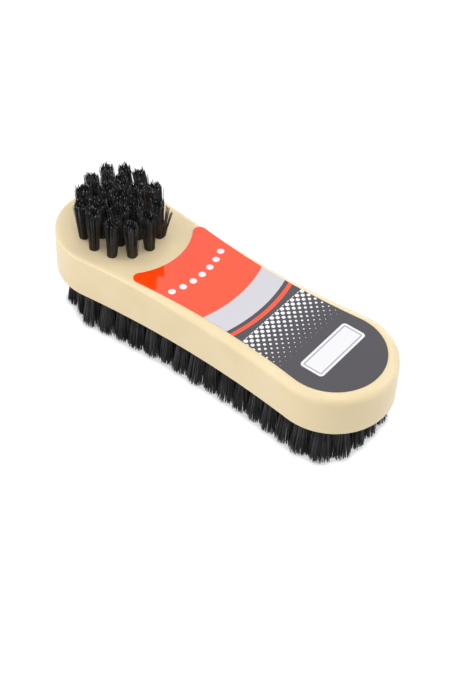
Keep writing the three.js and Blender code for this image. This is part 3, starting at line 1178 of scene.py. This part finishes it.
@dataclass
class ApplicatorBrush:
    """Round brush on the toe end of the deck: one tuft in the middle and two rings about it.

    Use has bent every tuft its own way and splayed a few filaments of one.
    """

    centre_x: float
    deck: float
    length: float = 19 * MM
    root_depth: float = 4 * MM
    # Radius, number of tufts and turn in degrees of each ring
    rings: tuple[tuple[float, int, float], ...] = (
        (0.0, 1, 0.0), (8.3 * MM, 6, 7.0), (15.75 * MM, 12, -4.0),
    )
    style: TuftStyle = TuftStyle(
        filaments=450, filament_radius=0.14 * MM, root_radius=1.75 * MM, tip_radius=3.5 * MM,
        tip_jitter=0.22 * MM, lean_jitter=0.2 * MM, length_jitter=0.6 * MM,
        tuft_length_jitter=0.3 * MM, stray_share=0.08, stray_reach=1.3 * MM, speck_share=0.14,
        clumps=45, gather=0.3, clump_tone=0.7, shaded_core=0.7, rim=0.45)
    # How far each tuft's tips lean in x and y, in millimetres, and its share of the full flare
    bends: tuple[tuple[float, float, float], ...] = (
        (0.2, -1.1, 1.15),
        (-0.4, -2.8, 1.1), (-0.9, -1.3, 1.0), (-0.8, -0.6, 0.98),
        (1.4, -0.2, 1.1), (-0.3, -2.2, 1.15), (1.0, -2.2, 1.15),
        (1.7, -2.8, 0.95), (0.8, -1.9, 0.95), (-1.2, -2.1, 0.82), (-2.8, -3.2, 0.76),
        (-2.1, -1.9, 0.68), (-0.9, -1.6, 0.7), (-0.1, -0.9, 0.76), (1.0, -0.9, 0.85),
        (1.3, -1.6, 0.9), (0.9, -0.9, 0.82), (2.2, -1.8, 0.87), (3.1, -3.8, 0.8),
    )
    splay: Splay = Splay(tuft=8, filaments=40, strands=9, direction=math.radians(37),
                         fan=math.radians(40), reach=5.0 * MM, drop=1.4)
    finish: BlackFilament = BlackFilament("brown_black_nylon_filament", "#3E372B")

    def places(self) -> np.ndarray:
        """Set out the tufts.

        Returns:
            x and y of the tufts, from the middle outwards.
        """
        points = []
        for radius, tufts, turn in self.rings:
            for index in range(tufts):
                angle = math.radians(turn) + 2 * math.pi * index / tufts
                points.append((self.centre_x + radius * math.cos(angle), radius * math.sin(angle)))
        return np.array(points)

    def build(self) -> Piece:
        """Grow the tufts of the brush.

        Returns:
            The brush.
        """
        brush = FilamentBrush(self.style, root=self.deck - self.root_depth,
                              tips=self.deck + self.length, floor=self.deck,
                              splay=self.splay)
        bends = np.array(self.bends)
        return brush.build("applicator_tufts", self.places(), bends[:, :2] * MM, bends[:, 2])

    def dress(self, piece: Piece) -> None:
        """Give the brush its finish and its place."""
        settle(piece, Slot.BRISTLE, self.finish.build(), "applicator_bristles")


@dataclass
class PolishingBrush:
    """Wide brush under the block: an outer row and an inner row along its edge, and a centre row.

    Use has bent one tuft of the outer row inwards at the toe.
    """

    plan: WaistedPlan
    underside: float
    outer_inset: float = 5.7 * MM
    inner_inset: float = 13.4 * MM
    pitch: float = 7.6 * MM
    ends: RowEnds = RowEnds(toe_setback=6.4 * MM, heel_setback=4.6 * MM, toe_squareness=0.97,
                            heel_squareness=0.59)
    centre_reach: float = 53.2 * MM
    centre_tufts: int = 15
    root_depth: float = 4 * MM
    tip_level: float = 0.15 * MM
    bent_tuft: int = 28
    bent_lean: tuple[float, float] = (1.6 * MM, 0.9 * MM)
    bent_flare: float = 0.68
    inner_filaments: int = 200
    style: TuftStyle = TuftStyle(
        filaments=310, filament_radius=0.17 * MM, root_radius=2.15 * MM, tip_radius=5.15 * MM,
        tip_jitter=0.15 * MM, lean_jitter=0.2 * MM, length_jitter=0.15 * MM,
        tuft_length_jitter=0.2 * MM, stray_share=0.03, stray_reach=0.6 * MM, speck_share=0.04,
        clumps=36, gather=0.15, clump_tone=0.4, shaded_core=0.5, rim=0.35, curl=0.95)
    finish: BlackFilament = BlackFilament("black_nylon_filament", "#333032")

    def rows(self) -> tuple[np.ndarray, np.ndarray]:
        """Set out the tufts.

        Returns:
            x and y of the tufts in the outer row, and in the other rows.
        """
        outer = self.plan.row(self.outer_inset, self.pitch, self.ends)
        inner = self.plan.row(self.inner_inset, self.pitch, self.ends)
        centre = np.zeros((self.centre_tufts, 2))
        centre[:, 0] = np.linspace(-self.centre_reach, self.centre_reach, self.centre_tufts)
        return outer, np.concatenate([inner, centre])

    def places(self) -> np.ndarray:
        """Give x and y of all the tufts."""
        return np.concatenate(self.rows())

    def build(self) -> list[Piece]:
        """Grow the brush as two pieces.

        Returns:
            The outer row, and the inner rows.
        """
        outer, inner = self.rows()
        pieces = []
        for name, row, filaments in (("sole_tufts_outer", outer, self.style.filaments),
                                     ("sole_tufts_inner", inner, self.inner_filaments)):
            brush = FilamentBrush(replace(self.style, filaments=filaments),
                                  root=self.underside + self.root_depth, tips=self.tip_level,
                                  floor=0.0)
            leans, flares = np.zeros((len(row), 2)), np.ones(len(row))
            if row is outer:
                leans[self.bent_tuft] = self.bent_lean
                flares[self.bent_tuft] = self.bent_flare
            pieces.append(brush.build(name, row, leans, flares))
        return pieces

    def dress(self, pieces: list[Piece]) -> None:
        """Give the brush its finish and its place.

        Args:
            pieces: the outer row, and the inner rows.
        """
        outer, inner = pieces
        finish = self.finish.build()
        settle(outer, Slot.BRISTLE, finish, "sole_outer_row")
        settle(inner, Slot.BRISTLE, finish, "sole_inner_row", "sole_centre_row")


@dataclass
class AnchorWires:
    """Flat wires that hold the applicator's tufts in their holes, kept as solids."""

    prefix: str = "applicator_anchor_"

    def dress(self) -> None:
        """Give every wire the finish of drawn steel."""
        finish = DrawnSteelWire().build()
        wires = [piece for piece in bpy.data.objects if piece.name.startswith(self.prefix)]
        for wire in wires:
            wire.data.materials.clear()
            wire.data.materials.append(finish)
        LOG.info("%s: %d wires", self.prefix, len(wires))


@dataclass(frozen=True)
class Lamp:
    """Square soft lamp, which may be there only to be mirrored in glossy faces."""

    name: str
    place: tuple[float, float, float]
    size: float
    power: float
    mirrored_only: bool = False

    def hang(self) -> None:
        """Hang the lamp with its face to the object."""
        light = bpy.data.lights.new(self.name, "AREA")
        light.size = self.size
        light.energy = self.power
        lamp = bpy.data.objects.new(self.name, light)
        lamp.location = self.place
        lamp.rotation_euler = Vector(self.place).to_track_quat("Z", "Y").to_euler()
        lamp.visible_diffuse = not self.mirrored_only
        bpy.context.collection.objects.link(lamp)


@dataclass
class Studio:
    """White sweep, soft lamps and the camera."""

    underside: float
    lamps: tuple[Lamp, ...] = (
        Lamp("low_softbox", (-0.1, -1.2, 0.6), 0.8, 4.1),
        Lamp("low_left_softbox", (-0.6, -1.1, 0.35), 0.8, 3.5),
        Lamp("left_softbox", (-0.95, -0.35, 0.75), 0.8, 5.5),
        Lamp("top_softbox", (0.0, 0.0, 1.3), 0.9, 5.2),
        Lamp("heel_softbox", (0.7, -0.5, 1.1), 0.8, 6.8),
        Lamp("back_softbox", (0.75, 0.75, 0.6), 0.8, 7.0),
        Lamp("back_left_softbox", (-0.35, 1.1, 0.35), 0.7, 3.2),
        Lamp("label_softbox", (-0.528, 0.639, 0.85), 0.9, 1.4, mirrored_only=True),
    )
    floor_size: float = 6.0
    floor_white: str = "#DCDCDC"
    floor_roughness: float = 0.9
    floor_glow: float = 1.1
    floor_lift: float = 0.9
    contact_reach: float = 4 * MM
    contact_samples: int = 8
    contact_shades: tuple[tuple[float, str], ...] = ((0.66, "#CDCDCF"), (0.86, "#FFFFFF"))
    sky: float = 0.01
    mirrored_sky: float = 1.18
    azimuth: float = 37.176
    elevation: float = 45.19
    roll: float = 2.291
    distance: float = 640.705 * MM
    aim: tuple[float, float] = (7.32 * MM, -6.298 * MM)
    lens: float = 85.0
    sensor: float = 36.0

    def build(self) -> None:
        """Set up the floor, the sky, the lamps and the camera."""
        scene = bpy.context.scene
        scene.view_settings.view_transform = "Standard"
        self.add_floor()
        self.add_sky()
        for lamp in self.lamps:
            lamp.hang()
        scene.camera = self.add_camera()

    def add_floor(self) -> None:
        """Lay the floor: white to the camera, with a painted shadow from ambient occlusion kept close
        about the object, over a little of its real shading.
        """
        bpy.ops.object.select_all(action="DESELECT")
        bpy.ops.mesh.primitive_plane_add(size=self.floor_size)
        floor = bpy.context.object
        floor.name = "studio_floor"
        material, graph, shader = new_material("white_paper_sweep")
        graph.fill(shader, {"Base Color": linear(self.floor_white), "Roughness": self.floor_roughness})
        # Painted shadow: ambient occlusion darkens the floor's glow close about the object
        contact = graph.add("AmbientOcclusion", {"Distance": self.contact_reach},
                            samples=self.contact_samples)
        shade = graph.ramp(contact.outputs["AO"], self.contact_shades)
        glow = graph.add("Emission", {"Color": shade, "Strength": self.floor_glow})
        path = graph.add("LightPath").outputs
        seen = graph.maths("MAXIMUM", path["Is Camera Ray"], path["Is Glossy Ray"])
        share = graph.maths("MULTIPLY", seen, self.floor_lift)
        mix = graph.add("MixShader", {0: share, 1: shader.outputs[0], 2: glow.outputs[0]})
        graph.fill(graph.tree.nodes["Material Output"], {"Surface": mix.outputs[0]})
        floor.data.materials.append(material)
        floor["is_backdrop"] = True

    def add_sky(self) -> None:
        """Light the set faintly from all round: white to the camera and bright where it is mirrored."""
        world = bpy.data.worlds.new("studio_sky")
        world.use_nodes = True
        graph = Graph(world.node_tree)
        path = graph.add("LightPath").outputs
        level = graph.spread(path["Is Glossy Ray"], (self.sky, self.mirrored_sky))
        strength = graph.maths("MAXIMUM", level, path["Is Camera Ray"])
        graph.fill(graph.tree.nodes["Background"], {"Color": (1, 1, 1, 1), "Strength": strength})
        bpy.context.scene.world = world

    def add_camera(self) -> Piece:
        """Set the camera up where the photograph was taken from.

        Returns:
            The camera.
        """
        azimuth, elevation = math.radians(self.azimuth), math.radians(self.elevation)
        base = Vector((0, 0, self.underside))
        eye = base + self.distance * Vector((math.sin(azimuth) * math.cos(elevation),
                                             -math.cos(azimuth) * math.cos(elevation),
                                             math.sin(elevation)))
        back = (eye - base - Vector((*self.aim, 0))).normalized()
        right = Vector((0, 0, 1)).cross(back).normalized()
        up = back.cross(right)
        roll = Matrix.Rotation(math.radians(self.roll), 3, "Z")
        turn = Matrix((right, up, back)).transposed() @ roll
        data = bpy.data.cameras.new("camera")
        data.lens = self.lens
        data.sensor_width = self.sensor
        camera = bpy.data.objects.new("camera", data)
        camera.matrix_world = Matrix.Translation(eye) @ turn.to_4x4()
        bpy.context.collection.objects.link(camera)
        return camera


def write_sizes() -> None:
    """Work out the boxes of the solids and of the visual model, and keep nothing."""
    for name, box in (("cad", CAD_BOX), ("visual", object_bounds())):
        [[float(value) for value in corner] for corner in box]


def main() -> None:
    """Build and dress every sub-assembly in order."""
    logging.basicConfig(level=logging.INFO, format="%(name)s: %(message)s")
    low, high = (Vector(corner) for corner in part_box("handle_block"))
    label_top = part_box("label")[1][2]
    underside, deck = low.z, high.z
    plan = WaistedPlan(high.x - low.x, (high.y - low.y) / 2, WAIST_HALF_WIDTH)
    Studio(underside).build()
    applicator = ApplicatorBrush(APPLICATOR_X, deck)
    polishing = PolishingBrush(plan, underside)
    block = HandleBlock(plan, underside, deck)
    block.dress(block.build(applicator.places(), polishing.places()))
    label = PrintedLabel(plan, deck, label_top, applicator.centre_x)
    label.dress(label.build())
    applicator.dress(applicator.build())
    polishing.dress(polishing.build())
    AnchorWires().dress()
    write_sizes()


if __name__ == "__main__":
    main()
